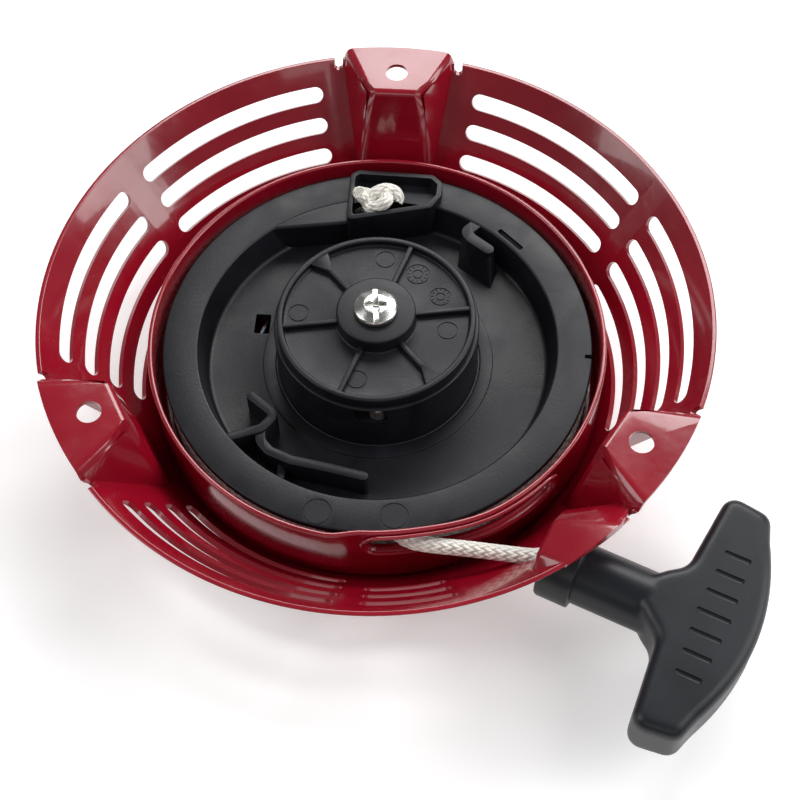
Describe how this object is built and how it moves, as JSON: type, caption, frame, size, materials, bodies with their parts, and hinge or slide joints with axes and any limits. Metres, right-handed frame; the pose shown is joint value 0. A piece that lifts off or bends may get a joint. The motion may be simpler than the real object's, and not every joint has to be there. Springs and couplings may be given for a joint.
{
  "type": "recoil starter",
  "caption": "Recoil starter: slotted round steel cover with bolting ears, inner cup, rope reel with pawls under a guide disc, braided rope and a T-shaped pull grip.",
  "frame": {"origin": "centre of the cover's flat outer face, on the reel's axis", "axes": "+Z towards the engine along the reel's axis; one bolting ear points along +Y; the rope leaves towards +X"},
  "size_m": [0.2037, 0.2139, 0.044],
  "materials": {
    "red_paint": "gloss",
    "black_nylon": "satin",
    "grip_plastic": "satin",
    "braided_rope": "braided",
    "pawl_steel": "satin",
    "dark_steel": "satin",
    "spring_steel": "satin",
    "zinc_plate": "bright zinc"
  },
  "bodies": {
    "case": {"outer_cover": "red_paint", "reel_cup": "red_paint", "centre_post": "dark_steel", "recoil_spring": "spring_steel", "spring_anchor": "dark_steel", "rope_lead": "braided_rope", "guide_screw": "zinc_plate"},
    "reel": {"starter_reel": "black_nylon", "rope_winding": "braided_rope", "rope_reel_knot": "braided_rope", "pawl_pin_front": "dark_steel", "pawl_pin_rear": "dark_steel", "pawl_spring_front": "spring_steel", "pawl_spring_rear": "spring_steel"},
    "guide": {"ratchet_guide": "black_nylon", "friction_spring": "spring_steel"},
    "pawl_front": {"ratchet_pawl_front": "pawl_steel"},
    "pawl_rear": {"ratchet_pawl_rear": "pawl_steel"},
    "grip": {"pull_grip": "grip_plastic", "grip_reinforcement": "pawl_steel", "rope_grip_run": "braided_rope", "rope_grip_knot": "braided_rope"}
  },
  "joints": [
    {"name": "reel_spin", "type": "hinge", "parent": "case", "child": "reel", "pos_m": [0, 0, 0.012], "axis": [0, 0, 1], "range_deg": [0, 1080], "stiffness_Nm_per_rad": 0.04, "springref_deg": -360.96},
    {"name": "grip_pull", "type": "slide", "parent": "case", "child": "grip", "axis": [0.9245, -0.3811, 0], "range_m": [0, 1.104]},
    {"name": "guide_turn", "type": "hinge", "parent": "reel", "child": "guide", "pos_m": [0, 0, 0.032], "axis": [0, 0, 1], "range_deg": [-30, 0], "stiffness_Nm_per_rad": 0.004, "springref_deg": 17.19},
    {"name": "pawl_front_swing", "type": "hinge", "parent": "reel", "child": "pawl_front", "pos_m": [-0.0115, -0.0185, 0.0275], "axis": [0, 0, -1], "range_deg": [0, 12.1]},
    {"name": "pawl_rear_swing", "type": "hinge", "parent": "reel", "child": "pawl_rear", "pos_m": [0.0115, 0.0185, 0.0275], "axis": [0, 0, -1], "range_deg": [0, 12.1]}
  ],
  "couplings": [
    {"joint": "grip_pull", "follows": "reel_spin", "m_per_rad": 0.0585},
    {"joint": "pawl_front_swing", "follows": "guide_turn", "ratio": -0.4},
    {"joint": "pawl_rear_swing", "follows": "guide_turn", "ratio": -0.4}
  ]
}
